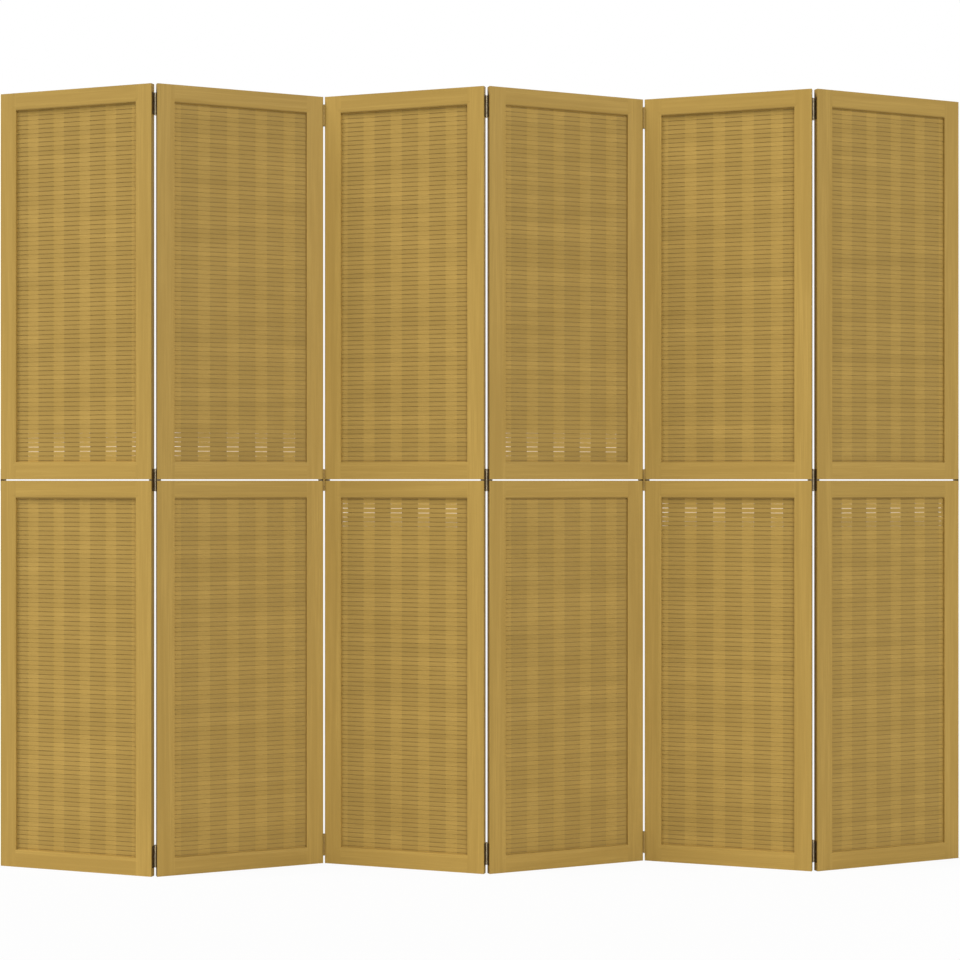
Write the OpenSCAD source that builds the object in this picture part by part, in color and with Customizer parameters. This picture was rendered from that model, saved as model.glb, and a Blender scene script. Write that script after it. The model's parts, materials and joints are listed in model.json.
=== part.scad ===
// Six-panel folding screen. Each panel is two light wooden frames, one above the other,
// and each frame holds a mat of thin strips laid before and behind upright laths.
// Seen from the front, x runs to the right, y away from the viewer and z up.

/* [Panels] */
// Width of one panel over both stiles
panel_w = 391.4; // [340:0.1:500]
// Height of one panel, from the floor to its top
panel_h = 1800; // [1200:10:2100]
// Thickness of the frame wood
panel_t = 15; // [14.5:0.5:24]
// Gap between the lower and the upper frame
frame_gap = 3.2; // [3.2:0.2:12]
// Angle by which each fold stands away from flat
fold_angle = 39; // [10:1:120]

/* [Frames] */
// Width of the stiles
stile_w = 40; // [36:0.5:60]
// Height of the rails
rail_h = 40; // [32:1:60]
// Rounding of the stiles' outer edges
edge_r = 1.2; // [0.4:0.1:3]
// Width of the bevel around the opening
bevel_w = 8; // [2:0.5:14]
// Depth of the bevel at the edge of the opening
bevel_d = 0.8; // [0.5:0.1:4]
// Length of the tenons on the rails
tenon_l = 20; // [8:1:26]
// Height of the tenons
tenon_h = 22; // [10:1:26]
// Thickness of the tenons
tenon_t = 5; // [3:0.5:9]
// Clearance of the tenons in their mortises
tenon_clear = 0.1; // [0.05:0.05:0.3]
// Depth of the groove that takes the mat
groove_d = 7; // [4:0.5:10]

/* [Mat] */
// Distance from one row of strips to the next
row_pitch = 10.4; // [8:0.05:20]
// Open seam between two strips of one layer
seam = 1.2; // [0.4:0.1:3]
// Thickness of a strip
strip_t = 0.8; // [0.5:0.1:1.5]
// Width of the upright laths
lath_w = 39.5; // [20:0.5:55]
// Thickness of the laths
lath_t = 2; // [1:0.1:4]
// Distance from one lath to the next
lath_pitch = 67.3; // [58:0.1:100]
// Centre of the first lath from the left edge, inner panels
lath_x_inner = 75.3; // [65:0.1:100]
// Centre of the first lath from the left edge, two outer panels
lath_x_outer = 49.5; // [45:0.1:100]
// Clearance of the mat in its groove
mat_clear = 0.1; // [0.05:0.05:0.4]
// Clearance at the ends of strips and laths
end_clear = 0.5; // [0.2:0.1:1.5]
// Row, from the middle of the panel, behind which two back strips are left out
loose_row = 2; // [1:1:12]

/* [Hinges] */
// Height of a hinge
hinge_h = 50; // [47:1:70]
// Distance from the end of the panel to its hinge
hinge_inset = 19; // [8:1:60]
// Thickness of a leaf
leaf_t = 0.8; // [0.6:0.1:1.6]
// How far a leaf covers the edge of the stile
leaf_cover = 12; // [9:0.5:13.5]
// Gap between two closed leaves
leaf_gap = 0.4; // [0.3:0.1:1.4]
// Outer diameter of the knuckles
knuckle_d = 4; // [3.8:0.1:7]
// Number of knuckles in a hinge
knuckles = 5; // [3:2:7]
// Gap between two knuckles
knuckle_gap = 0.3; // [0.1:0.05:0.6]
// Clearance of the knuckles from the wood's face and from the other leaf
barrel_clear = 0.15; // [0.1:0.05:0.6]
// Diameter of the pin
pin_d = 2; // [1.6:0.1:3]
// Clearance of the pin in the knuckles
pin_clear = 0.05; // [0.02:0.01:0.1]
// Diameter of the pin's heads
pin_head_d = 3.4; // [2.8:0.1:4.6]
// Height of the pin's heads
pin_head_h = 0.7; // [0.4:0.1:1.5]

/* [Screws] */
// Diameter of the screws
screw_d = 3; // [2.4:0.1:3.6]
// Length of the screws, head included
screw_l = 12; // [8:1:18]
// Diameter of the screw heads
screw_head_d = 5.4; // [4.8:0.1:6.2]
// Distance between two screws of a leaf
screw_pitch = 20; // [10:0.5:21]
// Clearance of the screws in their holes
screw_clear = 0.05; // [0.02:0.01:0.15]
// Width of the slots of the cross recess
recess_w = 0.8; // [0.4:0.1:1]
// Depth of the cross recess
recess_d = 0.8; // [0.4:0.1:1]

/* [Hidden] */
$fn = 32;

// Frames: two alike, stacked with the gap between them
frame_h = (panel_h - frame_gap) / 2;
frame_z = [0, panel_h - frame_h];
open_w = panel_w - 2 * stile_w;
open_h = frame_h - 2 * rail_h;

// Mat: three layers, centred in the thickness of the frame
mat_t = 2 * strip_t + lath_t;
mat_y = (panel_t - mat_t) / 2;
groove_t = mat_t + 2 * mat_clear;
seat = groove_d - end_clear;
strip_h = row_pitch - seam;
rows = floor(open_h / row_pitch);
row_z = (open_h - rows * row_pitch) / 2;
lath_span = ceil(open_w / lath_pitch) + 1;

// Tenons sit in the part of the rail that the groove leaves
tenon_z = (rail_h - groove_d - tenon_h) / 2;

// Hinge axis: in the middle of the gap between the stiles, outside the face
hinge_gap = 2 * leaf_t + leaf_gap;
axis_x = hinge_gap / 2;
axis_y = knuckle_d / 2 + barrel_clear;
knuckle_h = (hinge_h - (knuckles - 1) * knuckle_gap) / knuckles;
knuckle_step = knuckle_h + knuckle_gap;
hinge_z = [hinge_inset + hinge_h / 2, panel_h / 2, panel_h - hinge_inset - hinge_h / 2];
screw_z = [-screw_pitch, 0, screw_pitch];

// Plan: panels turn left and right by half the fold angle, near folds and far folds in turn
half = fold_angle / 2;
step_x = (panel_w + hinge_gap) * cos(half) + (panel_t + 2 * axis_y) * sin(half);
step_y = (panel_w + hinge_gap) * sin(half) - (panel_t + 2 * axis_y) * cos(half);
front_y = (axis_x + edge_r) * sin(half) - (panel_t + axis_y - edge_r) * cos(half) - edge_r;
back_y = (panel_w + axis_x - edge_r) * sin(half) - (axis_y + edge_r) * cos(half) + edge_r;
near_y = -(front_y + back_y) / 2;

// Colours
wood = [0.72, 0.6, 0.35];
strip_wood = [0.7, 0.59, 0.34];
lath_wood = [0.6, 0.48, 0.25];
bronze = [0.2, 0.14, 0.07];
steel = [0.5, 0.48, 0.42];

// A near fold has its hinges at the back, a far fold at the front
function near(fold) = fold % 2 == 1;
function turn(i) = i % 2 == 1 ? -half : half;
function fold_pos(k) = [(k - 3) * step_x, near(k) ? near_y : near_y + step_y];
function axis_in_panel(k, right) =
  [right ? panel_w + axis_x : -axis_x, near(k) ? panel_t + axis_y : -axis_y];

// Puts a panel, drawn with its left front corner at the origin, in its place
module place(i) {
  k = i < 6 ? i : 5;
  p = fold_pos(k);
  a = axis_in_panel(k, i < 6);
  translate([p[0], p[1], 0])
    rotate([0, 0, turn(i)])
      translate([-a[0], -a[1], 0])
        children();
}

// Space of the bevel around one opening, mitred in the corners, on the front face
module bevel_cut() {
  far = 5;
  intersection() {
    translate([0, 0, -1])
      linear_extrude(frame_h + 2)
        polygon([
          [stile_w - bevel_w - far * bevel_w / bevel_d, -far],
          [panel_w - stile_w + bevel_w + far * bevel_w / bevel_d, -far],
          [panel_w - stile_w, bevel_d],
          [stile_w, bevel_d]
        ]);
    translate([panel_w + 1, 0, 0])
      rotate([0, -90, 0])
        linear_extrude(panel_w + 2)
          polygon([
            [rail_h - bevel_w - far * bevel_w / bevel_d, -far],
            [frame_h - rail_h + bevel_w + far * bevel_w / bevel_d, -far],
            [frame_h - rail_h, bevel_d],
            [rail_h, bevel_d]
          ]);
  }
}

module bevels() {
  bevel_cut();
  translate([0, panel_t, 0])
    mirror([0, 1, 0])
      bevel_cut();
}

// Outline of a stile seen from above, its outer edge at x = 0
module stile_outline() {
  translate([edge_r, 0])
    square([stile_w - edge_r, panel_t]);
  translate([0, edge_r])
    square([2 * edge_r, panel_t - 2 * edge_r]);
  for (y = [edge_r, panel_t - edge_r])
    translate([edge_r, y])
      circle(edge_r);
}

// Hole in the wood for a screw that goes in along +x through a leaf on the edge at x = 0
module pilot() {
  rotate([0, 90, 0])
    cylinder(h = screw_l - leaf_t + end_clear, d = screw_d + 2 * screw_clear);
  translate([-leaf_t, 0, 0])
    countersink();
}

// Stile of one frame with its outer edge at x = 0 and the holes of the screws in that edge
module left_stile(z0, hole_y, heights) {
  difference() {
    linear_extrude(frame_h)
      stile_outline();
    translate([stile_w - groove_d, (panel_t - groove_t) / 2, rail_h - groove_d])
      cube([groove_d + 1, groove_t, open_h + 2 * groove_d]);
    for (z = [tenon_z, frame_h - tenon_z - tenon_h])
      translate([
        stile_w - tenon_l - end_clear,
        (panel_t - tenon_t) / 2 - tenon_clear,
        z - tenon_clear
      ])
        cube([tenon_l + end_clear + 1, tenon_t + 2 * tenon_clear, tenon_h + 2 * tenon_clear]);
    bevels();
    for (c = heights, s = screw_z)
      if (c + s > z0 - screw_head_d && c + s < z0 + frame_h + screw_head_d)
        translate([0, hole_y, c + s - z0])
          pilot();
  }
}

// Rail of one frame, groove upwards
module low_rail() {
  difference() {
    union() {
      translate([stile_w, 0, 0])
        cube([open_w, panel_t, rail_h]);
      translate([stile_w - tenon_l, (panel_t - tenon_t) / 2, tenon_z])
        cube([open_w + 2 * tenon_l, tenon_t, tenon_h]);
    }
    translate([stile_w - 1, (panel_t - groove_t) / 2, rail_h - groove_d])
      cube([open_w + 2, groove_t, groove_d + 1]);
    bevels();
  }
}

// Screws of the two edges of a panel: in the middle of the width that a leaf covers,
// and on a free edge only where the end plate is
function free_edge(i, right) = (i == 1 && !right) || (i == 6 && right);
function screw_y(k) = near(k) ? panel_t - leaf_cover / 2 : leaf_cover / 2;
function edge_screw_y(i, right) =
  free_edge(i, right) ? panel_t / 2 : screw_y(right ? i : i - 1);
function edge_heights(i, right) = free_edge(i, right) ? [hinge_z[1]] : hinge_z;

module stiles(i) {
  color(wood)
    place(i)
      for (z0 = frame_z)
        translate([0, 0, z0]) {
          left_stile(z0, edge_screw_y(i, false), edge_heights(i, false));
          translate([panel_w, 0, 0])
            mirror([1, 0, 0])
              left_stile(z0, edge_screw_y(i, true), edge_heights(i, true));
        }
}

module rails(i) {
  color(wood)
    place(i)
      for (z0 = frame_z)
        translate([0, 0, z0]) {
          low_rail();
          translate([0, 0, frame_h])
            mirror([0, 0, 1])
              low_rail();
        }
}

module laths(i) {
  first = i == 1 || i == 6 ? lath_x_outer : lath_x_inner;
  color(lath_wood)
    place(i)
      for (z0 = frame_z, n = [-lath_span : lath_span]) {
        x0 = max(first + n * lath_pitch - lath_w / 2, stile_w - seat);
        x1 = min(first + n * lath_pitch + lath_w / 2, panel_w - stile_w + seat);
        if (x1 - x0 > lath_w / 4)
          translate([x0, mat_y + strip_t, z0 + rail_h - seat])
            cube([x1 - x0, lath_t, open_h + 2 * seat]);
      }
}

// One strip from groove to groove, cut to what fits between the rails' grooves
module strip(y, z) {
  low = max(z - strip_h / 2, -seat);
  high = min(z + strip_h / 2, open_h + seat);
  translate([stile_w - seat, y, low])
    cube([open_w + 2 * seat, strip_t, high - low]);
}

// The lowest and the highest front strip of a frame stand partly in the rails' grooves
module front_strips(i) {
  color(strip_wood)
    place(i)
      for (z0 = frame_z, n = [-1 : rows])
        translate([0, 0, z0 + rail_h])
          strip(mat_y, row_z + (n + 0.5) * row_pitch);
}

// The frame whose two back strips are left out: 1 is the upper, 0 the lower
function loose_frame(i) = i == 1 || i == 2 || i == 4 ? 1 : 0;
function left_out(i, f, n) =
  f == loose_frame(i)
  && (f == 1 ? n : rows - n) >= loose_row
  && (f == 1 ? n : rows - n) <= loose_row + 1;

module back_strips(i) {
  color(strip_wood)
    place(i)
      for (f = [0, 1], n = [0 : rows])
        if (!left_out(i, f, n))
          translate([0, 0, frame_z[f] + rail_h])
            strip(mat_y + strip_t + lath_t, row_z + n * row_pitch);
}

// Countersunk screw that goes in along +x, its head flush with x = 0
module screw() {
  head_h = (screw_head_d - screw_d) / 2;
  difference() {
    union() {
      rotate([0, 90, 0])
        cylinder(h = head_h, d1 = screw_head_d, d2 = screw_d);
      rotate([0, 90, 0])
        cylinder(h = screw_l - screw_d / 2, d = screw_d);
      translate([screw_l - screw_d / 2, 0, 0])
        rotate([0, 90, 0])
          cylinder(h = screw_d / 2, d1 = screw_d, d2 = 0.4);
    }
    for (a = [0, 90])
      rotate([a, 0, 0])
        translate([-1, -screw_head_d / 4, -recess_w / 2])
          cube([1 + recess_d, screw_head_d / 2, recess_w]);
  }
}

// Countersunk hole for a screw that goes in along +x, from the face at x = 0
module countersink() {
  grow = screw_clear * sqrt(2);
  head_h = (screw_head_d - screw_d) / 2;
  translate([-1, 0, 0])
    rotate([0, 90, 0])
      cylinder(h = 1 + leaf_t + 1, d = screw_d + 2 * screw_clear);
  translate([grow - 1, 0, 0])
    rotate([0, 90, 0])
      cylinder(h = 1 + head_h, d1 = screw_head_d + 2, d2 = screw_d);
}

module edge_screws(y, heights) {
  for (c = heights, s = screw_z)
    translate([-leaf_t, y, c + s])
      screw();
}

module screws(i) {
  color(steel)
    place(i) {
      edge_screws(edge_screw_y(i, false), edge_heights(i, false));
      translate([panel_w, 0, 0])
        mirror([1, 0, 0])
          edge_screws(edge_screw_y(i, true), edge_heights(i, true));
    }
}

// Leaf on the left edge of a panel, hinge axis in front of the face; own is 0 for the
// leaf with the first knuckle, 1 for the other
module leaf(own) {
  difference() {
    union() {
      difference() {
        translate([-leaf_t, -axis_y, -hinge_h / 2])
          cube([leaf_t, axis_y + leaf_cover, hinge_h]);
        for (n = [0 : knuckles - 1])
          if (n % 2 != own)
            translate([-axis_x, -axis_y, -hinge_h / 2 + n * knuckle_step - knuckle_gap])
              cylinder(h = knuckle_h + 2 * knuckle_gap, d = knuckle_d + 2 * barrel_clear);
      }
      for (n = [0 : knuckles - 1])
        if (n % 2 == own)
          translate([-axis_x, -axis_y, -hinge_h / 2 + n * knuckle_step])
            cylinder(h = knuckle_h, d = knuckle_d);
    }
    translate([-axis_x, -axis_y, -hinge_h / 2 - 1])
      cylinder(h = hinge_h + 2, d = pin_d + 2 * pin_clear);
    for (s = screw_z)
      translate([-leaf_t, leaf_cover / 2, s])
        countersink();
  }
}

// Turns what is drawn for the front of a left edge to the edge and face of the fold
module at_edge(k, right) {
  translate([right ? panel_w : 0, near(k) ? panel_t : 0, 0])
    mirror([right ? 1 : 0, 0, 0])
      mirror([0, near(k) ? 1 : 0, 0])
        for (z = hinge_z)
          translate([0, 0, z])
            children();
}

// The leaf on the panel to the left of fold k sits on that panel's right edge
module left_leaves(k) {
  color(bronze)
    place(k)
      at_edge(k, true)
        leaf(0);
}

module right_leaves(k) {
  color(bronze)
    place(k + 1)
      at_edge(k, false)
        leaf(1);
}

module pins(k) {
  p = fold_pos(k);
  head_z = hinge_h / 2 + knuckle_gap / 4;
  color(steel)
    for (z = hinge_z)
      translate([p[0], p[1], z]) {
        translate([0, 0, -head_z])
          cylinder(h = 2 * head_z, d = pin_d);
        for (s = [-head_z - pin_head_h, head_z])
          translate([0, 0, s])
            cylinder(h = pin_head_h, d = pin_head_d);
      }
}

// Plate across the gap between the frames on a free edge
module end_plate() {
  translate([0, (panel_t - leaf_cover) / 2, hinge_z[1]])
    difference() {
      translate([-leaf_t, 0, -hinge_h / 2])
        cube([leaf_t, leaf_cover, hinge_h]);
      for (s = screw_z)
        translate([-leaf_t, leaf_cover / 2, s])
          countersink();
    }
}

module left_end() {
  color(bronze)
    place(1)
      end_plate();
}

module right_end() {
  color(bronze)
    place(6)
      translate([panel_w, 0, 0])
        mirror([1, 0, 0])
          end_plate();
}

stiles(1);  // panel_1_stiles
rails(1);  // panel_1_rails
laths(1);  // panel_1_laths
front_strips(1);  // panel_1_front_strips
back_strips(1);  // panel_1_back_strips
screws(1);  // panel_1_screws
stiles(2);  // panel_2_stiles
rails(2);  // panel_2_rails
laths(2);  // panel_2_laths
front_strips(2);  // panel_2_front_strips
back_strips(2);  // panel_2_back_strips
screws(2);  // panel_2_screws
stiles(3);  // panel_3_stiles
rails(3);  // panel_3_rails
laths(3);  // panel_3_laths
front_strips(3);  // panel_3_front_strips
back_strips(3);  // panel_3_back_strips
screws(3);  // panel_3_screws
stiles(4);  // panel_4_stiles
rails(4);  // panel_4_rails
laths(4);  // panel_4_laths
front_strips(4);  // panel_4_front_strips
back_strips(4);  // panel_4_back_strips
screws(4);  // panel_4_screws
stiles(5);  // panel_5_stiles
rails(5);  // panel_5_rails
laths(5);  // panel_5_laths
front_strips(5);  // panel_5_front_strips
back_strips(5);  // panel_5_back_strips
screws(5);  // panel_5_screws
stiles(6);  // panel_6_stiles
rails(6);  // panel_6_rails
laths(6);  // panel_6_laths
front_strips(6);  // panel_6_front_strips
back_strips(6);  // panel_6_back_strips
screws(6);  // panel_6_screws
left_leaves(1);  // fold_12_left_leaves
right_leaves(1);  // fold_12_right_leaves
pins(1);  // fold_12_pins
left_leaves(2);  // fold_23_left_leaves
right_leaves(2);  // fold_23_right_leaves
pins(2);  // fold_23_pins
left_leaves(3);  // fold_34_left_leaves
right_leaves(3);  // fold_34_right_leaves
pins(3);  // fold_34_pins
left_leaves(4);  // fold_45_left_leaves
right_leaves(4);  // fold_45_right_leaves
pins(4);  // fold_45_pins
left_leaves(5);  // fold_56_left_leaves
right_leaves(5);  // fold_56_right_leaves
pins(5);  // fold_56_pins
left_end();  // left_end_plate
right_end();  // right_end_plate
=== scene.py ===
"""Six-panel wooden folding screen with strip mats: materials, bowed strips, studio."""

import json
import math

import bpy
from bpy.props import FloatProperty, FloatVectorProperty, IntProperty, PointerProperty
from mathutils import Matrix, Vector


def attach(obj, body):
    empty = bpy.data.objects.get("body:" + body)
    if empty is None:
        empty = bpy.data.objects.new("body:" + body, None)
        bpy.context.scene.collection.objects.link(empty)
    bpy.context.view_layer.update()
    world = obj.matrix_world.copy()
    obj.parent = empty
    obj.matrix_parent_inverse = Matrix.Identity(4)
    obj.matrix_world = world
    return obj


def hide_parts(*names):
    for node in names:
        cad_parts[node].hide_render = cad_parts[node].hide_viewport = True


bl_info = {
    "name": "Strip-mat folding screen",
    "version": (1, 0, 0),
    "blender": (4, 5, 0),
    "location": "View3D > Sidebar > Screen",
    "description": "Weaves the mats, finishes the wood and hinges of a folding screen and lights it",
    "category": "Add Mesh",
}

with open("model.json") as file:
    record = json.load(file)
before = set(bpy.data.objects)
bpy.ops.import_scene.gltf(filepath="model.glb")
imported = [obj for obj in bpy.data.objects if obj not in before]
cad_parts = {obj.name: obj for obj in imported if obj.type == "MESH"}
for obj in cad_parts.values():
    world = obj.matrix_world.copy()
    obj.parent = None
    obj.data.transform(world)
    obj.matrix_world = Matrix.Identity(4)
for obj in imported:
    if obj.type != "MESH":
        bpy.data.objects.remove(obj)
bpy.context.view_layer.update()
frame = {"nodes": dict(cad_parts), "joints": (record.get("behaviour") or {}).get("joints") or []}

PANELS = range(1, 7)
FOLDS = range(1, 6)

# Sizes of the CAD model, in metres and radians
PANEL_W = 0.3914
PANEL_H = 1.800
PANEL_T = 0.015
HALF_FOLD = math.radians(19.5)
STILE_W = 0.0400
RAIL_H = 0.0400
FRAME_GAP = 0.0032
FRAME_H = (PANEL_H - FRAME_GAP) / 2
OPEN_W = PANEL_W - 2 * STILE_W
OPEN_H = FRAME_H - 2 * RAIL_H
SEAT = 0.0065
STRIP_T = 0.0008
SEAM = 0.0012
ROW_PITCH = 0.0104
ROWS = int(OPEN_H / ROW_PITCH)
ROW_Z = (OPEN_H - ROWS * ROW_PITCH) / 2
LATHS = 5
LATH_T = 0.0020
LATH_W = 0.0395
LATH_PITCH = 0.0673
LATH_FIRST_INNER = 0.0753
LATH_FIRST_OUTER = 0.0495
HALF_GAP = (LATH_PITCH - LATH_W) / 2
AXIS_X = 0.0010
AXIS_Y = 0.00215
KNUCKLE_R = 0.0020

# Height of the front strips' lowest seam in the lower and in the upper frame
LOWEST_SEAM = (RAIL_H + ROW_Z, PANEL_H - FRAME_H + RAIL_H + ROW_Z)

# Two back strips are missing in each panel. This is the first, counted from the middle rail
LOOSE_ROW = 2

# Panels that miss them in the upper frame. The others miss them in the lower one
UPPER_LOOSE = (1, 2, 4)

# How far the back strips beside the missing ones, counted alike, have slid towards the middle rail
SLID = {1: -0.0048, 4: 0.0048, 5: 0.0048, 6: 0.00475, 7: 0.0040, 8: 0.0026, 9: 0.0012}

# A strip starts to bend this far inside a lath's edge
BEND_INSIDE = 0.0005

# This far outside the edge it has bent by this share of its dip
BEND_OUTSIDE = 0.0015
BEND_SHARE = 0.15

# Nearer than this to a stile a strip stays straight
STRAIGHT_END = 0.003

# A vertex nearer than this to a cut lies on it
ON_CUT = 1e-5

# Faces whose normal has at least this share towards the laths are inner faces
INNER_FACE = 0.9
SMOOTH_ANGLE = math.radians(40)

# Height of the band of painted shade along the lower edge of a top rail, which stands in for the shadow
# under the rail
ARRIS = 0.0022

# How far from a stile's outer edge the darkening starts and where it is full. It is partly stain and
# partly painted shade for the dark gaps at the folds
STAIN_AND_SHADE_START = 0.0008
STAIN_AND_SHADE_FULL = 0.0004

# Half the width over which the strips' painted shade changes at a lath's edge
LATH_BLUR = 0.0008

# The painted glow is full this far inside the gap between two laths
GLOW_BLUR = 0.001

# Rows, counted from the middle rail, in which the front strips' edges carry the painted glow
GLOWING_ROWS = (-0.40, 4.50)

# Parts of a row, counted from a seam, where the painted glow ends and where it is full
GLOW_END = 0.30
GLOW_FULL = 0.12

# How far round a barrel the finish is rubbed off at least, and how far it is gone altogether. On folds
# with their barrels on the back, this ring carries the painted highlight instead
RUB_LEAST = 0.0005
RUB_FULL = 0.0001

WHITE = (1, 1, 1, 1)
PALE_GREY = (0.6, 0.6, 0.6, 1)
FLOOR_SIZE = 40

# Share of plain white in what the camera sees of the floor. The rest is the floor's grey in the light
FLOOR_GLOW = 0.94
SENSOR_WIDTH = 36
CLIP_END = 100

# Each sun's name, the property with its strength, its spread in degrees and the direction it stands in
SUNS = (
    ("fill_light", "fill", 36, (0.42, -0.75, 0.50)),
    ("side_light", "side", 24, (-0.66, -0.12, 0.74)),
    ("back_light", "back", 40, (0.35, 0.80, 0.49)),
)
SUN_DISTANCE = 4


def fold_joint(k):
    return next(joint for joint in frame["joints"] if joint["name"] == f"fold_{k}{k + 1}")


def barrels_behind(k):
    """Whether fold k points at the camera and so has its barrels on the back."""
    return k % 2 == 1


def panel_turn(i):
    return -HALF_FOLD if i % 2 else HALF_FOLD


def panel_place(i):
    """Matrix that puts a piece drawn in panel i's own axes where that panel stands."""
    k = min(i, FOLDS[-1])
    pin_x, pin_y = fold_joint(k)["pos_m"][:2]
    across = PANEL_W + AXIS_X if i == k else -AXIS_X
    deep = PANEL_T + AXIS_Y if barrels_behind(k) else -AXIS_Y
    turn = Matrix.Rotation(panel_turn(i), 4, "Z")
    return Matrix.Translation((pin_x, pin_y, 0)) @ turn @ Matrix.Translation((-across, -deep, 0))


def first_lath(i):
    return LATH_FIRST_OUTER if i in (PANELS[0], PANELS[-1]) else LATH_FIRST_INNER


class WoodLook(bpy.types.PropertyGroup):
    frame_light: FloatVectorProperty(
        name="Frame wood",
        description="Colour of the light grain in the stiles and rails",
        subtype="COLOR",
        size=3,
        min=0,
        max=1,
        default=(0.478, 0.308, 0.074),
    )
    frame_dark: FloatVectorProperty(
        name="Frame grain",
        description="Colour of the dark grain in the stiles and rails",
        subtype="COLOR",
        size=3,
        min=0,
        max=1,
        default=(0.405, 0.255, 0.057),
    )
    # Partly stain, partly painted shade for the dark gaps at the folds
    edge_stain_and_shade: FloatProperty(
        name="Edge stain and shade",
        description="How much darker the outer edges of the stiles are than their faces",
        subtype="FACTOR",
        min=0,
        max=1,
        default=0.22,
    )
    # Painted shade: the lower edges of the top rails are darkened where the shadow under the rail falls
    arris_painted_shade: FloatProperty(
        name="Arris painted shade",
        description="How much darker the lower edges of the top rails are than their faces",
        subtype="FACTOR",
        min=0,
        max=1,
        default=0.27,
    )
    strip_light: FloatVectorProperty(
        name="Strip wood",
        description="Colour of the light grain in the mat's strips",
        subtype="COLOR",
        size=3,
        min=0,
        max=1,
        default=(0.465, 0.300, 0.0745),
    )
    strip_dark: FloatVectorProperty(
        name="Strip grain",
        description="Colour of the dark grain in the mat's strips",
        subtype="COLOR",
        size=3,
        min=0,
        max=1,
        default=(0.400, 0.255, 0.060),
    )
    lath: FloatVectorProperty(
        name="Lath wood",
        description="Colour of the laths between the front and the back strips",
        subtype="COLOR",
        size=3,
        min=0,
        max=1,
        default=(0.36, 0.225, 0.055),
    )
    # The inner faces' much paler colour is partly unfinished wood and partly painted light that fills
    # the shade in the seams between the strips
    raw_and_painted_light: FloatVectorProperty(
        name="Raw wood and painted light",
        description="Colour of the strips' inner faces, unfinished and painted paler as light in the seams",
        subtype="COLOR",
        size=3,
        min=0,
        max=1,
        default=(0.78, 0.58, 0.22),
    )


class MatLook(bpy.types.PropertyGroup):
    stand_off: FloatProperty(
        name="Stand-off",
        description="Gap between the strips and the laths that they cross",
        subtype="DISTANCE",
        unit="LENGTH",
        min=0,
        max=0.001,
        default=0.0001,
    )
    dip: FloatProperty(
        name="Dip",
        description="How far the strips bend inwards between the laths",
        subtype="DISTANCE",
        unit="LENGTH",
        min=0,
        max=0.00098,
        default=0.00097,
    )
    open_seam: FloatProperty(
        name="Seam on the laths",
        description="Height of the seams between the strips where they cross a lath",
        subtype="DISTANCE",
        unit="LENGTH",
        min=0.0002,
        max=0.002,
        default=0.00165,
    )
    closed_seam: FloatProperty(
        name="Seam between the laths",
        description="Height of the seams between the strips where no lath is behind them",
        subtype="DISTANCE",
        unit="LENGTH",
        min=0.0002,
        max=0.002,
        default=0.0005,
    )
    waver: FloatProperty(
        name="Waver",
        description="How far the split edges of the strips stray from straight",
        subtype="DISTANCE",
        unit="LENGTH",
        min=0,
        max=0.0004,
        default=0.00012,
    )
    # Painted shade: the strips are darker over the laths, which block the light that shines through the
    # thin strips from behind
    lath_painted_shade: FloatProperty(
        name="Painted lath shade",
        description="How much darker the strips are where a lath stands behind them",
        subtype="FACTOR",
        min=0,
        max=0.3,
        default=0.105,
    )
    # Painted glow: the front strips' edges beside the open seams are paler, as if lit from behind
    # through the mat
    painted_glow: FloatProperty(
        name="Painted glow",
        description="How much paler the front strips' edges are where light comes through the mat",
        subtype="FACTOR",
        min=0,
        max=1,
        default=0.20,
    )
    seed: IntProperty(
        name="Seed", description="Picks another set of small irregularities", default=3
    )


class HingeLook(bpy.types.PropertyGroup):
    bronze: FloatVectorProperty(
        name="Leaf bronze",
        description="Colour of the dark hinge leaves and end plates",
        subtype="COLOR",
        size=3,
        min=0,
        max=1,
        default=(0.062, 0.034, 0.010),
    )
    # Painted highlight: the pale barrel colour spreads this far over the right leaves on folds with
    # their barrels on the back
    leaf_highlight: FloatProperty(
        name="Leaf highlight",
        description="How far from the bright barrels the right leaves get the painted highlight",
        subtype="DISTANCE",
        unit="LENGTH",
        min=0.0005,
        max=0.01,
        default=0.006,
    )
    barrel: FloatVectorProperty(
        name="Barrel brass",
        description="Colour of the barrels on the front, where the dark finish is rubbed off",
        subtype="COLOR",
        size=3,
        min=0,
        max=1,
        default=(0.43, 0.285, 0.09),
    )
    # Painted highlight: the barrels on the back are the same metal as those on the front, painted pale
    bright: FloatVectorProperty(
        name="Bright barrel",
        description="Colour of the barrels on the back, painted pale as a highlight",
        subtype="COLOR",
        size=3,
        min=0,
        max=1,
        default=(0.97, 0.86, 0.62),
    )
    steel: FloatVectorProperty(
        name="Pin steel",
        description="Colour of the pins and screws",
        subtype="COLOR",
        size=3,
        min=0,
        max=1,
        default=(0.16, 0.13, 0.09),
    )


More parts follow.
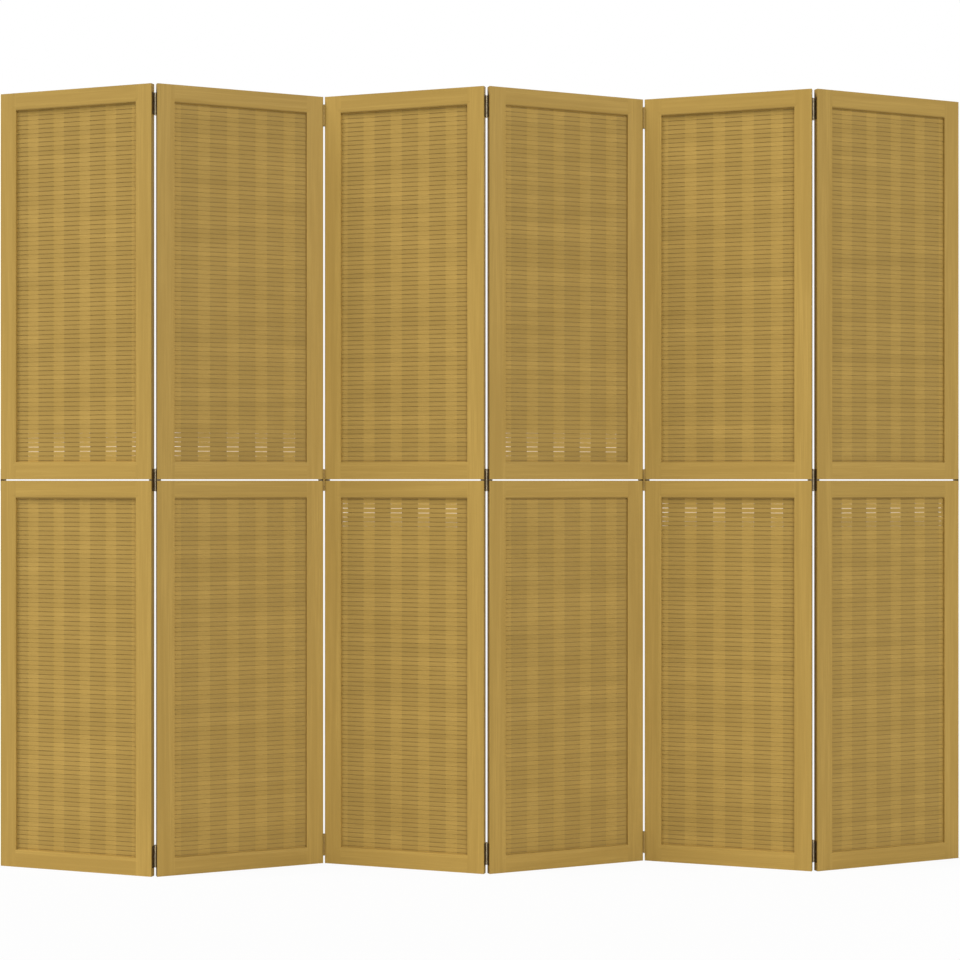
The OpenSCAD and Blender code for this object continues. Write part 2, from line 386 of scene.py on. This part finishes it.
class StudioLook(bpy.types.PropertyGroup):
    sky: FloatProperty(
        name="Dome", description="Strength of the even white light from all round", default=0.350, min=0
    )
    fill: FloatProperty(
        name="Fill light",
        description="Strength of the broad soft light on the right, in front of the screen",
        default=1.35,
        min=0,
    )
    side: FloatProperty(
        name="Side light",
        description="Strength of the soft light high on the left, almost in line with the screen",
        default=2.80,
        min=0,
    )
    back: FloatProperty(
        name="Back light",
        description="Strength of the broad soft light behind the screen",
        default=0.8,
        min=0,
    )
    camera_at: FloatVectorProperty(
        name="Camera",
        description="Where the camera stands",
        subtype="TRANSLATION",
        unit="LENGTH",
        size=3,
        default=(-0.16583, -4.10516, 0.900),
    )
    camera_turn: FloatProperty(
        name="Camera turn",
        description="How far the camera looks to the left of straight ahead",
        subtype="ANGLE",
        unit="ROTATION",
        default=math.radians(-2.135),
    )
    lens: FloatProperty(
        name="Lens",
        description="Focal length on a 36 mm wide frame, in millimetres",
        default=66.285,
        min=10,
        max=300,
    )


# Shading helpers


def new_material(name):
    mat = bpy.data.materials.new(name)
    mat.use_nodes = True
    tree = mat.node_tree
    return mat, tree, tree.nodes["Principled BSDF"]


def give_material(obj, *materials):
    obj.data.materials.clear()
    for mat in materials:
        obj.data.materials.append(mat)


def scaled(colour, factor):
    return tuple(min(1, factor * channel) for channel in colour)


def add_node(tree, kind, x, y, **settings):
    node = tree.nodes.new(kind)
    node.location = (x, y)
    for key, value in settings.items():
        setattr(node, key, value)
    return node


def math_node(tree, operation, x, y, *values):
    """One sum. Each value is a number or the socket that it comes from."""
    node = add_node(tree, "ShaderNodeMath", x, y, operation=operation)
    for socket, value in zip(node.inputs, values):
        if isinstance(value, (int, float)):
            socket.default_value = value
        else:
            tree.links.new(value, socket)
    return node.outputs[0]


def ramp(tree, value, x, y, low=0.0, high=1.0, to_low=0.0, to_high=1.0):
    """Stretches a value from low and high to to_low and to_high, and clips it there."""
    node = add_node(tree, "ShaderNodeMapRange", x, y)
    for name, end in (("From Min", low), ("From Max", high), ("To Min", to_low), ("To Max", to_high)):
        node.inputs[name].default_value = end
    tree.links.new(value, node.inputs["Value"])
    return node.outputs[0]


def split_axes(tree, vector, x, y):
    split = add_node(tree, "ShaderNodeSeparateXYZ", x, y)
    tree.links.new(vector, split.inputs[0])
    return split.outputs


def random_value(tree, number, x, y):
    """A random value that depends on the number alone."""
    noise = add_node(tree, "ShaderNodeTexWhiteNoise", x, y, noise_dimensions="1D")
    tree.links.new(number, noise.inputs["W"])
    return noise.outputs["Value"]


def blend_colours(tree, fac, x, y, a, b):
    node = add_node(tree, "ShaderNodeMix", x, y, data_type="RGBA")
    tree.links.new(fac, node.inputs[0])
    for socket, colour in ((node.inputs[6], a), (node.inputs[7], b)):
        if isinstance(colour, bpy.types.NodeSocket):
            tree.links.new(colour, socket)
        else:
            socket.default_value = (*colour, 1)
    return node.outputs[2]


def tint(tree, shader, x, y, colour, tone):
    """Gives the shader a colour that is made lighter or darker by a tone."""
    toned = add_node(tree, "ShaderNodeVectorMath", x, y, operation="SCALE")
    tree.links.new(colour, toned.inputs[0])
    tree.links.new(tone, toned.inputs["Scale"])
    tree.links.new(toned.outputs[0], shader.inputs["Base Color"])


def add_bump(tree, shader, x, y, height, strength, distance):
    bump = add_node(tree, "ShaderNodeBump", x, y)
    bump.inputs["Strength"].default_value = strength
    bump.inputs["Distance"].default_value = distance
    tree.links.new(height, bump.inputs["Height"])
    tree.links.new(bump.outputs[0], shader.inputs["Normal"])


def panel_coordinates(tree, i):
    """Object coordinates turned and moved to panel i's own axes, in metres."""
    coords = add_node(tree, "ShaderNodeTexCoord", -1800, 0)
    mapping = add_node(tree, "ShaderNodeMapping", -1600, 0)
    mapping.inputs["Location"].default_value = panel_place(i).inverted().to_translation()
    mapping.inputs["Rotation"].default_value = (0, 0, -panel_turn(i))
    tree.links.new(coords.outputs["Object"], mapping.inputs["Vector"])
    return mapping.outputs[0]


# Wood


def grain(tree, vector, x, y, axis, offset, across, along, detail, roughness, distortion=0.0):
    """Streaks that run along one axis: noise that is fine across it and stretched along it."""
    mapping = add_node(tree, "ShaderNodeMapping", x, y)
    mapping.inputs["Scale"].default_value = [along if name == axis else across for name in "xyz"]
    mapping.inputs["Location"].default_value = offset
    tree.links.new(vector, mapping.inputs["Vector"])
    noise = add_node(tree, "ShaderNodeTexNoise", x + 200, y)
    noise.inputs["Scale"].default_value = 1
    noise.inputs["Detail"].default_value = detail
    noise.inputs["Roughness"].default_value = roughness
    noise.inputs["Distortion"].default_value = distortion
    tree.links.new(mapping.outputs[0], noise.inputs["Vector"])
    return noise.outputs["Fac"]


def board_shade(tree, vector, cuts, x, y, seed, step=1.37):
    """One random value for each board: cuts are (axis, place) planes between the boards."""
    axes = split_axes(tree, vector, x, y)
    total = None
    for n, (axis, place) in enumerate(cuts):
        level = y - 160 * n
        side = math_node(tree, "GREATER_THAN", x + 200, level, axes[axis], place)
        weighted = math_node(tree, "MULTIPLY", x + 400, level, side, step * (n + 1))
        total = weighted if total is None else math_node(tree, "ADD", x + 600, level, total, weighted)
    moved = math_node(tree, "ADD", x + 800, y, total, seed)
    return random_value(tree, moved, x + 1000, y)


def frame_wood(i, axis):
    """Straw-coloured wood with fine straight grain, for panel i's stiles (z) or rails (x)."""
    look = bpy.context.scene.screen_wood
    stiles = axis == "z"
    mat, tree, shader = new_material(f"straw_wood_{'stile' if stiles else 'rail'}_{i}")
    vector = panel_coordinates(tree, i)
    offset = (1.7 * i, 2.3 * i, 3.1 * i)
    fine = grain(tree, vector, -1300, 300, axis, offset, across=420, along=9, detail=3, roughness=0.6)
    broad = grain(
        tree, vector, -1300, 0, axis, offset,
        across=60, along=2.2, detail=2, roughness=0.5, distortion=0.8,
    )
    pores = grain(
        tree, vector, -1300, -300, axis, offset, across=1100, along=40, detail=2, roughness=0.5
    )
    dark = ramp(tree, broad, -900, 0, low=0.35, high=0.68)
    bands = blend_colours(tree, dark, -700, 0, look.frame_light, look.frame_dark)
    dark = ramp(tree, fine, -900, 300, low=0.38, high=0.72)
    lines = blend_colours(tree, dark, -500, 100, bands, look.frame_dark)
    if stiles:
        cuts = [("X", PANEL_W / 2), ("Z", PANEL_H / 2)]
    else:
        cuts = [("Z", PANEL_H / 4), ("Z", PANEL_H / 2), ("Z", 3 * PANEL_H / 4)]
    board = board_shade(tree, vector, cuts, -1300, -700, seed=5.3 * i + (0.5 if stiles else 0))
    tone = ramp(tree, board, -300, -500, to_low=0.97, to_high=1.03)
    # The outer edges of the stiles are darker: partly stain, partly painted shade for the dark gaps at
    # the folds
    axes = split_axes(tree, vector, -1300, -1200)
    centred = math_node(tree, "SUBTRACT", -1100, -1200, axes["X"], PANEL_W / 2)
    outwards = math_node(tree, "ABSOLUTE", -900, -1200, centred)
    start, full = PANEL_W / 2 - STAIN_AND_SHADE_START, PANEL_W / 2 - STAIN_AND_SHADE_FULL
    edge = ramp(tree, outwards, -700, -1200, start, full, to_low=1.0, to_high=1.0 - look.edge_stain_and_shade)
    tone = math_node(tree, "MULTIPLY", -300, -700, tone, edge)
    # Painted shade: a dark band along the lower edge of each top rail, for the shadow under the rail
    if not stiles:
        for n, opening_top in enumerate((FRAME_H - RAIL_H, PANEL_H - RAIL_H)):
            level = -1500 - 300 * n
            middle = opening_top + ARRIS / 2
            arris = math_node(tree, "COMPARE", -900, level, axes["Z"], middle, ARRIS / 2)
            shade = ramp(tree, arris, -700, level, to_low=1.0, to_high=1.0 - look.arris_painted_shade)
            tone = math_node(tree, "MULTIPLY", -300, level, tone, shade)
    tint(tree, shader, -200, 100, lines, tone)
    rough = ramp(tree, fine, -300, -100, to_low=0.42, to_high=0.6)
    tree.links.new(rough, shader.inputs["Roughness"])
    add_bump(tree, shader, -200, -300, pores, strength=0.25, distance=0.0002)
    shader.inputs["Specular IOR Level"].default_value = 0.2
    return mat


def row_shade(tree, height, i, side, x, y):
    """One random value for each row of strips."""
    shift = 0.5 if side == "back" else 0.0
    lower, upper = (seam / ROW_PITCH - shift for seam in LOWEST_SEAM)
    row = math_node(tree, "DIVIDE", x, y, height, ROW_PITCH)
    above = math_node(tree, "GREATER_THAN", x, y - 160, height, PANEL_H / 2)
    start = math_node(tree, "MULTIPLY", x + 200, y - 160, above, (upper - lower) % 1)
    row = math_node(tree, "SUBTRACT", x + 200, y, row, lower % 1)
    row = math_node(tree, "SUBTRACT", x + 400, y, row, start)
    row = math_node(tree, "FLOOR", x + 600, y, row)
    row = math_node(tree, "ADD", x + 800, y, row, 31.7 * i + shift)
    return random_value(tree, row, x + 1000, y)


def middle_rail(i):
    """Height of the middle rail's seam in panel i's frame with missing strips, where rows count from 0.

    With it comes the way in which they count: 1 for upwards, -1 for downwards.
    """
    if i in UPPER_LOOSE:
        return LOWEST_SEAM[1], 1
    return LOWEST_SEAM[0] + ROWS * ROW_PITCH, -1


def beside_slits(tree, height, i, x, y):
    """1 on the edges of the front strips along the seams that light comes through, where the painted
    glow goes.
    """
    z_middle, way = middle_rail(i)
    first, last = GLOWING_ROWS
    rise = math_node(tree, "SUBTRACT", x, y, height, z_middle)
    row = math_node(tree, "MULTIPLY", x + 200, y, rise, way / ROW_PITCH)
    to_seam = math_node(tree, "PINGPONG", x + 400, y, row, 0.5)
    near = ramp(tree, to_seam, x + 600, y, GLOW_END, GLOW_FULL)
    inside = math_node(tree, "COMPARE", x + 400, y - 200, row, (first + last) / 2, (last - first) / 2)
    return math_node(tree, "MULTIPLY", x + 800, y, near, inside)


def strip_wood(i, side):
    """Split wood strips: every row has its own tone, with streaks along it, painted shade over the
    laths and, on the front, a painted glow beside the open seams.
    """
    scene = bpy.context.scene
    wood, look = scene.screen_wood, scene.screen_mat
    mat, tree, shader = new_material(f"strip_wood_{side}_{i}")
    vector = panel_coordinates(tree, i)
    offset = (2.9 * i, 1.3 * i, 4.7 * i + (0.5 if side == "back" else 0))
    streaks = grain(
        tree, vector, -1300, 300, "x", offset, across=700, along=14, detail=3, roughness=0.65
    )
    clouds = grain(tree, vector, -1300, 0, "x", offset, across=30, along=5, detail=2, roughness=0.5)
    dark = ramp(tree, clouds, -900, 0, low=0.35, high=0.7)
    base = blend_colours(tree, dark, -700, 0, wood.strip_light, wood.strip_dark)
    dark = ramp(tree, streaks, -900, 300, low=0.4, high=0.75)
    lines = blend_colours(tree, dark, -500, 100, base, wood.strip_dark)
    axes = split_axes(tree, vector, -1300, -400)
    row = row_shade(tree, axes["Z"], i, side, -1100, -400)
    tone = ramp(tree, row, 100, -300, to_low=0.96, to_high=1.04)
    # Painted shade over the laths, which block the light that comes through the strips from behind
    middle = first_lath(i) - LATH_PITCH / 2
    off_middle = math_node(tree, "SUBTRACT", -1100, -900, axes["X"], middle)
    off_middle = math_node(tree, "WRAP", -900, -900, off_middle, LATH_PITCH / 2, -LATH_PITCH / 2)
    off_middle = math_node(tree, "ABSOLUTE", -700, -900, off_middle)
    start, full = HALF_GAP - LATH_BLUR, HALF_GAP + LATH_BLUR
    on_lath = ramp(tree, off_middle, -500, -900, start, full, to_low=1.0, to_high=1.0 - look.lath_painted_shade)
    tone = math_node(tree, "MULTIPLY", 200, -400, tone, on_lath)
    # Painted glow on the front strips' edges beside the seams that light comes through
    if side == "front":
        in_gap = ramp(tree, off_middle, -500, -1200, HALF_GAP, HALF_GAP - GLOW_BLUR)
        pale = beside_slits(tree, axes["Z"], i, -1100, -1500)
        pale = math_node(tree, "MULTIPLY", -100, -1500, pale, in_gap)
        pale = ramp(tree, pale, 100, -1500, to_low=1.0, to_high=1.0 + look.painted_glow)
        tone = math_node(tree, "MULTIPLY", 400, -400, tone, pale)
    tint(tree, shader, 600, 0, lines, tone)
    add_bump(tree, shader, 0, -600, streaks, strength=0.3, distance=0.00015)
    shader.inputs["Roughness"].default_value = 0.55
    shader.inputs["Specular IOR Level"].default_value = 0.15
    shader.location = (800, 0)
    return mat


def bare_wood_and_painted_light(i, name, axis, colour):
    """Bare wood without finish, for the laths and the strips' inner faces, whose paler colour is also
    painted light that fills the shade in the seams.
    """
    mat, tree, shader = new_material(f"raw_{name}_{i}")
    vector = panel_coordinates(tree, i)
    offset = (0.7 * i, 5.1 * i, 1.9 * i)
    fine = grain(tree, vector, -1300, 300, axis, offset, across=500, along=10, detail=3, roughness=0.6)
    dark = ramp(tree, fine, -900, 300, low=0.35, high=0.7)
    lines = blend_colours(tree, dark, -500, 100, colour, scaled(colour, 0.8))
    tree.links.new(lines, shader.inputs["Base Color"])
    add_bump(tree, shader, -200, -300, fine, strength=0.3, distance=0.0002)
    shader.inputs["Roughness"].default_value = 0.7
    return mat


# Metal


def tarnish(tree, shader, x, y, scale, smooth, rough):
    """Spots of tarnish: their pattern, which also makes the metal smoother or rougher."""
    coords = add_node(tree, "ShaderNodeTexCoord", x, y)
    noise = add_node(tree, "ShaderNodeTexNoise", x + 200, y)
    noise.inputs["Scale"].default_value = scale
    noise.inputs["Detail"].default_value = 4
    tree.links.new(coords.outputs["Object"], noise.inputs["Vector"])
    roughness = ramp(tree, noise.outputs["Fac"], x + 700, y - 500, to_low=smooth, to_high=rough)
    tree.links.new(roughness, shader.inputs["Roughness"])
    return noise.outputs["Fac"]


def aged_metal(name, colour, metallic, scale, smooth, rough):
    """Plated metal with a mottled tarnish."""
    mat, tree, shader = new_material(name)
    spots = tarnish(tree, shader, -1200, 200, scale, smooth, rough)
    spots = ramp(tree, spots, -700, 200, low=0.4, high=0.7)
    mixed = blend_colours(tree, spots, -500, 200, colour, scaled(colour, 1.7))
    tree.links.new(mixed, shader.inputs["Base Color"])
    shader.inputs["Metallic"].default_value = metallic
    return mat


def hinge_metal(k, part):
    """Dark bronze whose finish is rubbed off round the barrels of fold k. Where the barrels are on the
    back, the ring round them and the right leaves' near edge get a pale cream painted highlight.
    """
    look = bpy.context.scene.screen_hinge
    mat, tree, shader = new_material(f"hinge_bronze_{part}_{k}{k + 1}")
    pin_x, pin_y = fold_joint(k)["pos_m"][:2]
    coords = add_node(tree, "ShaderNodeTexCoord", -1400, -300)
    mapping = add_node(tree, "ShaderNodeMapping", -1200, -300)
    mapping.inputs["Location"].default_value = (-pin_x, -pin_y, 0)
    mapping.inputs["Scale"].default_value = (1, 1, 0)
    tree.links.new(coords.outputs["Object"], mapping.inputs["Vector"])
    away = add_node(tree, "ShaderNodeVectorMath", -1000, -300, operation="LENGTH")
    tree.links.new(mapping.outputs[0], away.inputs[0])
    # On folds with their barrels on the back, the pale ring and the right leaves' edge are a painted
    # highlight; on the others the ring is brass where the finish is worn
    reach = look.leaf_highlight if barrels_behind(k) and part == "right_leaves" else RUB_LEAST
    start, full = KNUCKLE_R + reach, KNUCKLE_R + RUB_FULL
    rubbed = ramp(tree, away.outputs["Value"], -800, -300, start, full)
    spots = tarnish(tree, shader, -1200, 200, scale=160, smooth=0.35, rough=0.6)
    spots = ramp(tree, spots, -700, 200, low=0.35, high=0.65)
    dark = blend_colours(tree, spots, -500, 200, look.bronze, scaled(look.bronze, 1.8))
    plating = look.bright if barrels_behind(k) else look.barrel
    bare = blend_colours(tree, spots, -500, -100, plating, scaled(plating, 0.75))
    mixed = blend_colours(tree, rubbed, -300, 100, dark, bare)
    tree.links.new(mixed, shader.inputs["Base Color"])
    shader.inputs["Metallic"].default_value = 0.3
    shader.inputs["Specular IOR Level"].default_value = 0.1
    return mat


# Modelling helpers


def deselect_all():
    if bpy.context.object and bpy.context.object.mode != "OBJECT":
        bpy.ops.object.mode_set(mode="OBJECT")
    bpy.ops.object.select_all(action="DESELECT")


def make_active(obj):
    deselect_all()
    obj.select_set(True)
    bpy.context.view_layer.objects.active = obj


def select_where(obj, kind, test):
    """Selects, in object mode, the vertices, edges or faces for which the test is true."""
    groups = {"VERT": obj.data.vertices, "EDGE": obj.data.edges, "FACE": obj.data.polygons}
    bpy.context.tool_settings.mesh_select_mode = [name == kind for name in groups]
    for group in groups.values():
        for element in group:
            element.select = False
    chosen = [element for element in groups[kind] if test(element)]
    for element in chosen:
        element.select = True
    return chosen


def edit(obj, kind, test, action):
    """Runs one edit-mode action on what the test picks."""
    bpy.ops.object.mode_set(mode="OBJECT")
    if not select_where(obj, kind, test):
        raise RuntimeError(f"nothing to edit on {obj.name}")
    bpy.ops.object.mode_set(mode="EDIT")
    action()
    bpy.ops.object.mode_set(mode="OBJECT")


def apply_place(obj):
    """Moves a piece's place, turn and size into its mesh and leaves it active."""
    make_active(obj)
    bpy.ops.object.transform_apply(location=True, rotation=True, scale=True)


def add_block(name, size, centre):
    deselect_all()
    bpy.ops.mesh.primitive_cube_add(size=1, location=centre)
    obj = bpy.context.object
    obj.name = name
    obj.data.name = name
    obj.scale = size
    apply_place(obj)
    return obj


def join_as(name, objects):
    deselect_all()
    for obj in objects:
        obj.select_set(True)
    bpy.context.view_layer.objects.active = objects[0]
    if len(objects) > 1:
        bpy.ops.object.join()
    joined = bpy.context.object
    joined.name = name
    joined.data.name = name
    return joined


# Mats


def bend_stations(first, look):
    """Where a strip is bent: its place, how far it stands off the laths and the seam there."""
    stations = []
    for n in range(LATHS):
        centre = first + n * LATH_PITCH
        for side in (-1, 1):
            inside = centre + side * (LATH_W / 2 - BEND_INSIDE)
            outside = centre + side * (LATH_W / 2 + BEND_OUTSIDE)
            stations.append((inside, look.stand_off, look.open_seam))
            stations.append((outside, -BEND_SHARE * look.dip, look.closed_seam))
        stations.append((centre + LATH_PITCH / 2, -look.dip, look.closed_seam))
    low, high = STILE_W + STRAIGHT_END, PANEL_W - STILE_W - STRAIGHT_END
    return [station for station in stations if low < station[0] < high]


def bowed_strip(name, first, outwards, look):
    """One strip from groove to groove that crosses the laths and dips between them."""
    height = ROW_PITCH - SEAM
    layer = LATH_T / 2 + STRIP_T / 2
    size = (OPEN_W + 2 * SEAT, STRIP_T, height)
    strip = add_block(name, size, (PANEL_W / 2, PANEL_T / 2 + outwards * layer, 0))
    stations = bend_stations(first, look)
    for place, _, _ in stations:
        edit(
            strip,
            "VERT",
            lambda v: True,
            lambda: bpy.ops.mesh.bisect(plane_co=(place, 0, 0), plane_no=(1, 0, 0)),
        )
    for place, lift, seam in stations:
        edit(
            strip,
            "VERT",
            lambda v: abs(v.co.x - place) < ON_CUT,
            lambda: bpy.ops.transform.translate(value=(0, outwards * lift, 0)),
        )
        edit(
            strip,
            "VERT",
            lambda v: abs(v.co.x - place) < ON_CUT,
            lambda: bpy.ops.transform.resize(value=(1, 1, (ROW_PITCH - seam) / height)),
        )
    return strip


def strip_rows(i, f, side):
    """Numbers of the strips in frame f of panel i (0 is the lower one), and the height of number 0."""
    if side == "front":
        return range(-1, ROWS + 1), LOWEST_SEAM[f] + ROW_PITCH / 2
    missing = [LOOSE_ROW, LOOSE_ROW + 1] if f else [ROWS - LOOSE_ROW, ROWS - LOOSE_ROW - 1]
    loose = f == (i in UPPER_LOOSE)
    return [n for n in range(ROWS + 1) if not (loose and n in missing)], LOWEST_SEAM[f]


def repeat_strip(strip, rows, z0):
    """Copies a strip up a frame, one array for each unbroken run of rows."""
    runs = []
    for n in rows:
        if runs and runs[-1][1] == n - 1:
            runs[-1][1] = n
        else:
            runs.append([n, n])
    made = []
    for low, high in runs:
        run = strip.copy()
        run.data = strip.data.copy()
        bpy.context.scene.collection.objects.link(run)
        run.location = (0, 0, z0 + low * ROW_PITCH)
        apply_place(run)
        array = run.modifiers.new("rows", "ARRAY")
        array.use_relative_offset = False
        array.use_constant_offset = True
        array.constant_offset_displace = (0, 0, ROW_PITCH)
        array.count = high - low + 1
        bpy.ops.object.modifier_apply(modifier=array.name)
        made.append(run)
    return made


def slide_strips(mat, i):
    """Slides the back strips round the two missing ones along the frame, as on the worn mat."""
    z_middle, way = middle_rail(i)
    for n, slide in SLID.items():
        z = z_middle + way * n * ROW_PITCH
        edit(
            mat,
            "VERT",
            lambda v: abs(v.co.z - z) < ROW_PITCH / 2,
            lambda: bpy.ops.transform.translate(value=(0, 0, -way * slide)),
        )


def lay_mat(i, side, outwards, strip, look):
    """The front or the back of both mats of panel i, in its place."""
    runs = []
    for f in (0, 1):
        runs += repeat_strip(strip, *strip_rows(i, f, side))
    mat = join_as(f"{side}_mat_{i}", runs)
    if side == "back":
        slide_strips(mat, i)
    # Inner faces: unfinished wood, painted paler as light that fills the shade in the seams
    inner = bare_wood_and_painted_light(i, f"{side}_strips", "x", bpy.context.scene.screen_wood.raw_and_painted_light)
    give_material(mat, strip_wood(i, side), inner)
    mat.active_material_index = 1
    edit(
        mat,
        "FACE",
        lambda face: -outwards * face.normal.y > INNER_FACE,
        bpy.ops.object.material_slot_assign,
    )
    edit(
        mat,
        "VERT",
        lambda v: STILE_W < v.co.x < PANEL_W - STILE_W,
        lambda: bpy.ops.transform.vertex_random(
            offset=look.waver, uniform=0.0, normal=0.0, seed=look.seed + i
        ),
    )
    mat.matrix_world = panel_place(i)
    apply_place(mat)
    bpy.ops.object.shade_smooth_by_angle(angle=SMOOTH_ANGLE)
    return mat


# Stage


def add_camera(look):
    deselect_all()
    bpy.ops.object.camera_add(location=look.camera_at, rotation=(math.pi / 2, 0, look.camera_turn))
    camera = bpy.context.object
    camera.name = "camera"
    camera.data.sensor_width = SENSOR_WIDTH
    camera.data.lens = look.lens
    camera.data.clip_end = CLIP_END
    bpy.context.scene.camera = camera


def floor_finish():
    """Matt grey floor that looks nearly white to the camera and still shows the screen's shadow."""
    mat, tree, shader = new_material("pale_floor")
    shader.inputs["Base Color"].default_value = PALE_GREY
    shader.inputs["Roughness"].default_value = 0.9
    glow = add_node(tree, "ShaderNodeEmission", -200, 300)
    glow.inputs["Color"].default_value = WHITE
    glow.inputs["Strength"].default_value = 1
    path = add_node(tree, "ShaderNodeLightPath", -400, 300)
    share = math_node(tree, "MULTIPLY", 0, 400, path.outputs["Is Camera Ray"], FLOOR_GLOW)
    mix = add_node(tree, "ShaderNodeMixShader", 300, 200)
    tree.links.new(share, mix.inputs[0])
    tree.links.new(shader.outputs[0], mix.inputs[1])
    tree.links.new(glow.outputs[0], mix.inputs[2])
    tree.links.new(mix.outputs[0], tree.nodes["Material Output"].inputs["Surface"])
    return mat


def add_floor():
    deselect_all()
    bpy.ops.mesh.primitive_plane_add(size=FLOOR_SIZE, location=(0, 0, 0))
    floor = bpy.context.object
    floor.name = "floor"
    give_material(floor, floor_finish())


def light_world(look):
    """Even white light from all round. The camera and the metal see plain white."""
    world = bpy.data.worlds.new("studio")
    bpy.context.scene.world = world
    world.use_nodes = True
    tree = world.node_tree
    background = tree.nodes["Background"]
    background.inputs["Color"].default_value = WHITE
    path = add_node(tree, "ShaderNodeLightPath", -600, 200)
    camera_ray, glossy_ray = path.outputs["Is Camera Ray"], path.outputs["Is Glossy Ray"]
    seen = math_node(tree, "MAXIMUM", -400, 200, camera_ray, glossy_ray)
    strength = ramp(tree, seen, -200, 200, to_low=look.sky, to_high=1.0)
    tree.links.new(strength, background.inputs["Strength"])


def add_sun(name, strength, spread, towards):
    deselect_all()
    bpy.ops.object.light_add(type="SUN", location=tuple(SUN_DISTANCE * c for c in towards))
    light = bpy.context.object
    light.name = name
    light.data.energy = strength
    light.data.angle = math.radians(spread)
    light.rotation_euler = Vector(towards).to_track_quat("Z", "Y").to_euler()


# Operators


class SCREEN_OT_weave_mats(bpy.types.Operator):
    """Weave the strip mats of all panels around their laths"""

    bl_idname = "screen.weave_mats"
    bl_label = "Weave mats"

    def execute(self, context):
        look = context.scene.screen_mat
        for side, outwards in (("front", -1), ("back", 1)):
            strips = {}
            for first in (LATH_FIRST_INNER, LATH_FIRST_OUTER):
                strips[first] = bowed_strip(f"{side}_strip", first, outwards, look)
            for i in PANELS:
                mat = lay_mat(i, side, outwards, strips[first_lath(i)], look)
                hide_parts(f"panel_{i}_{side}_strips")
                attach(mat, f"panel_{i}")
            for strip in strips.values():
                bpy.data.objects.remove(strip)
        return {"FINISHED"}


class SCREEN_OT_finish_frames(bpy.types.Operator):
    """Give the stiles, rails and laths their wood"""

    bl_idname = "screen.finish_frames"
    bl_label = "Finish frames"

    def execute(self, context):
        for i in PANELS:
            give_material(frame["nodes"][f"panel_{i}_stiles"], frame_wood(i, "z"))
            give_material(frame["nodes"][f"panel_{i}_rails"], frame_wood(i, "x"))
            laths = bare_wood_and_painted_light(i, "laths", "z", context.scene.screen_wood.lath)
            give_material(frame["nodes"][f"panel_{i}_laths"], laths)
        return {"FINISHED"}


class SCREEN_OT_finish_hinges(bpy.types.Operator):
    """Bronze the hinge leaves and end plates and dull the pins and screws"""

    bl_idname = "screen.finish_hinges"
    bl_label = "Finish hinges"

    def execute(self, context):
        look = context.scene.screen_hinge
        bronze = aged_metal("dark_bronze", look.bronze, metallic=0.6, scale=90, smooth=0.4, rough=0.6)
        steel = aged_metal("dull_steel", look.steel, metallic=0.9, scale=140, smooth=0.35, rough=0.55)
        for k in FOLDS:
            for part in ("left_leaves", "right_leaves"):
                give_material(frame["nodes"][f"fold_{k}{k + 1}_{part}"], hinge_metal(k, part))
            give_material(frame["nodes"][f"fold_{k}{k + 1}_pins"], steel)
        for plate in ("left_end_plate", "right_end_plate"):
            give_material(frame["nodes"][plate], bronze)
        for i in PANELS:
            give_material(frame["nodes"][f"panel_{i}_screws"], steel)
        return {"FINISHED"}


class SCREEN_OT_set_stage(bpy.types.Operator):
    """Set the camera, the pale floor and the soft studio lights"""

    bl_idname = "screen.set_stage"
    bl_label = "Set stage"

    def execute(self, context):
        look = context.scene.screen_studio
        context.scene.view_settings.view_transform = "Standard"
        add_camera(look)
        add_floor()
        light_world(look)
        for name, strength, spread, towards in SUNS:
            add_sun(name, getattr(look, strength), spread, towards)
        return {"FINISHED"}


class SCREEN_PT_panel(bpy.types.Panel):
    bl_label = "Folding screen"
    bl_idname = "SCREEN_PT_panel"
    bl_space_type = "VIEW_3D"
    bl_region_type = "UI"
    bl_category = "Screen"

    def draw(self, context):
        scene = context.scene
        for title, group, operator in (
            ("Wood", scene.screen_wood, SCREEN_OT_finish_frames),
            ("Mats", scene.screen_mat, SCREEN_OT_weave_mats),
            ("Hinges", scene.screen_hinge, SCREEN_OT_finish_hinges),
            ("Stage", scene.screen_studio, SCREEN_OT_set_stage),
        ):
            box = self.layout.box()
            box.label(text=title)
            for name in group.bl_rna.properties.keys():
                if name not in ("rna_type", "name"):
                    box.prop(group, name)
            box.operator(operator.bl_idname)


CLASSES = (
    WoodLook,
    MatLook,
    HingeLook,
    StudioLook,
    SCREEN_OT_finish_frames,
    SCREEN_OT_weave_mats,
    SCREEN_OT_finish_hinges,
    SCREEN_OT_set_stage,
    SCREEN_PT_panel,
)


def register():
    for cls in CLASSES:
        bpy.utils.register_class(cls)
    bpy.types.Scene.screen_wood = PointerProperty(type=WoodLook)
    bpy.types.Scene.screen_mat = PointerProperty(type=MatLook)
    bpy.types.Scene.screen_hinge = PointerProperty(type=HingeLook)
    bpy.types.Scene.screen_studio = PointerProperty(type=StudioLook)


def unregister():
    del bpy.types.Scene.screen_studio
    del bpy.types.Scene.screen_hinge
    del bpy.types.Scene.screen_mat
    del bpy.types.Scene.screen_wood
    for cls in reversed(CLASSES):
        bpy.utils.unregister_class(cls)


def main():
    register()
    bpy.ops.screen.set_stage()
    bpy.ops.screen.finish_frames()
    bpy.ops.screen.weave_mats()
    bpy.ops.screen.finish_hinges()


if __name__ == "__main__":
    main()
